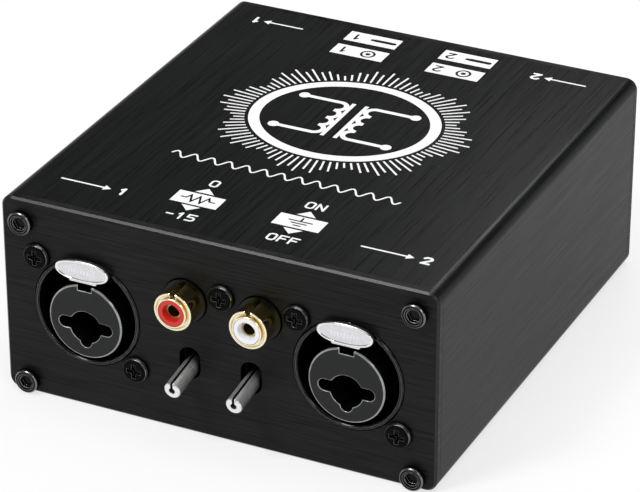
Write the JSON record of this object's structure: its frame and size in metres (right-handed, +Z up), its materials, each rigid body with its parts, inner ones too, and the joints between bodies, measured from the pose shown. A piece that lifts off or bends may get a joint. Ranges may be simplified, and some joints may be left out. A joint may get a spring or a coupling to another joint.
{
  "type": "ground loop isolator",
  "caption": "Passive stereo audio isolator in a black aluminium case, with latching combination inputs, phono sockets, toggle switches and balanced outputs.",
  "frame": {"origin": "middle of the case's flat underside", "axes": "+Z up, -Y out of the front panel with the inputs and switches, +X to the right seen from the front"},
  "size_m": [0.097, 0.1203, 0.0449],
  "materials": {
    "case_black": "satin black anodised, faintly brushed",
    "panel_black": "black anodised, brushed across, bright chamfer",
    "screw_black": "black zinc, glossy",
    "ink_white": "screen printed ink",
    "board_green": "solder mask",
    "plastic_black": "moulded, glossy",
    "insert_black": "moulded, satin",
    "nickel": "nickel plated",
    "spring_steel": "drawn wire",
    "contact_brass": "plain",
    "gold_plate": "gold plated, polished",
    "plastic_red": "moulded",
    "plastic_white": "moulded",
    "plastic_blue": "moulded",
    "tin_plate": "tinned",
    "core_steel": "stacked laminations",
    "bobbin_plastic": "moulded",
    "winding_copper": "enamelled copper wire",
    "resistor_coat": "dipped lacquer"
  },
  "bodies": {
    "case": {"sleeve": "case_black", "front_panel": "panel_black", "rear_panel": "panel_black", "front_panel_screws": "screw_black", "rear_panel_screws": "screw_black", "top_print": "ink_white", "main_board": "board_green", "combo_housing_left": "plastic_black", "combo_housing_right": "plastic_black", "combo_insert_left": "insert_black", "combo_insert_right": "insert_black", "combo_spring_left": "spring_steel", "combo_spring_right": "spring_steel", "combo_contacts_left": "contact_brass", "combo_contacts_right": "contact_brass", "front_connector_screws": "screw_black", "rca_housing_front": "plastic_black", "rca_shell_front_left": "gold_plate", "rca_shell_front_right": "gold_plate", "rca_insulator_front_left": "plastic_red", "rca_insulator_front_right": "plastic_white", "rca_contacts_front": "contact_brass", "toggle_body_left": "plastic_blue", "toggle_body_right": "plastic_blue", "toggle_terminals": "tin_plate", "transformer_core_left": "core_steel", "transformer_core_right": "core_steel", "transformer_bobbin_left": "bobbin_plastic", "transformer_bobbin_right": "bobbin_plastic", "transformer_winding_left": "winding_copper", "transformer_winding_right": "winding_copper", "transformer_pins": "tin_plate", "pad_resistors": "resistor_coat", "xlr_housing_left": "plastic_black", "xlr_housing_right": "plastic_black", "xlr_pins_left": "tin_plate", "xlr_pins_right": "tin_plate", "rear_connector_screws": "screw_black", "jack_body_left": "plastic_black", "jack_body_right": "plastic_black", "jack_nut_left": "nickel", "jack_nut_right": "nickel", "jack_terminals": "tin_plate", "rca_housing_rear": "plastic_black", "rca_shell_rear_left": "gold_plate", "rca_shell_rear_right": "gold_plate", "rca_insulator_rear_left": "plastic_red", "rca_insulator_rear_right": "plastic_white", "rca_contacts_rear": "contact_brass"},
    "lever_left": {"toggle_lever_left": "nickel"},
    "lever_right": {"toggle_lever_right": "nickel"},
    "latch_left": {"combo_latch_left": "nickel"},
    "latch_right": {"combo_latch_right": "nickel"}
  },
  "joints": [
    {"name": "toggle_throw_left", "type": "hinge", "parent": "case", "child": "lever_left", "pos_m": [-0.0059, -0.045, 0.0162], "axis": [-1, 0, 0], "range_deg": [0, 17]},
    {"name": "toggle_throw_right", "type": "hinge", "parent": "case", "child": "lever_right", "pos_m": [0.0079, -0.045, 0.0162], "axis": [-1, 0, 0], "range_deg": [0, 17]},
    {"name": "latch_press_left", "type": "slide", "parent": "case", "child": "latch_left", "axis": [0, 1, 0], "range_m": [0, 0.0009], "stiffness_N_per_m": 400, "springref_m": -0.003, "deforming": ["combo_spring_left"]},
    {"name": "latch_press_right", "type": "slide", "parent": "case", "child": "latch_right", "axis": [0, 1, 0], "range_m": [0, 0.0009], "stiffness_N_per_m": 400, "springref_m": -0.003, "deforming": ["combo_spring_right"]}
  ]
}
